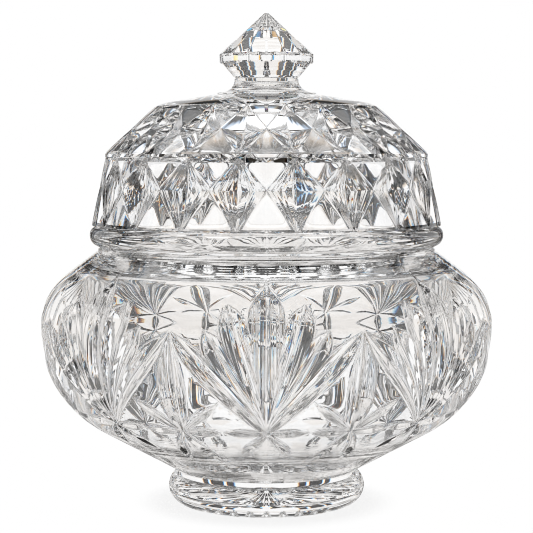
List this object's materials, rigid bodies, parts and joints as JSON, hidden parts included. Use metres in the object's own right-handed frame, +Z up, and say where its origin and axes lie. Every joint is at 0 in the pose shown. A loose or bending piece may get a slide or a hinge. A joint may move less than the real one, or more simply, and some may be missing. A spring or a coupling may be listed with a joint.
{
  "type": "lidded candy dish",
  "caption": "Round footed candy dish in clear cut crystal, with fan and star cuts on the bowl and a lift-off domed cover with sunk diamonds and a facetted finial.",
  "frame": {"origin": "centre of the foot's resting ring, on the table", "axes": "+Z up along the dish's axis, -Y towards the viewer of the picture, +X to the viewer's right"},
  "size_m": [0.1512, 0.1512, 0.1644],
  "materials": {
    "bowl_crystal": "polished cut crystal",
    "foot_crystal": "polished cut crystal",
    "cover_crystal": "polished cut crystal",
    "finial_crystal": "polished cut crystal"
  },
  "bodies": {
    "bowl": {"bowl": "bowl_crystal", "foot": "foot_crystal"},
    "cover": {"cover": "cover_crystal", "finial": "finial_crystal"}
  },
  "joints": [
    {"name": "cover_lift", "type": "slide", "parent": "bowl", "child": "cover", "axis": [0, 0, 1], "range_m": [0, 0.12]}
  ]
}
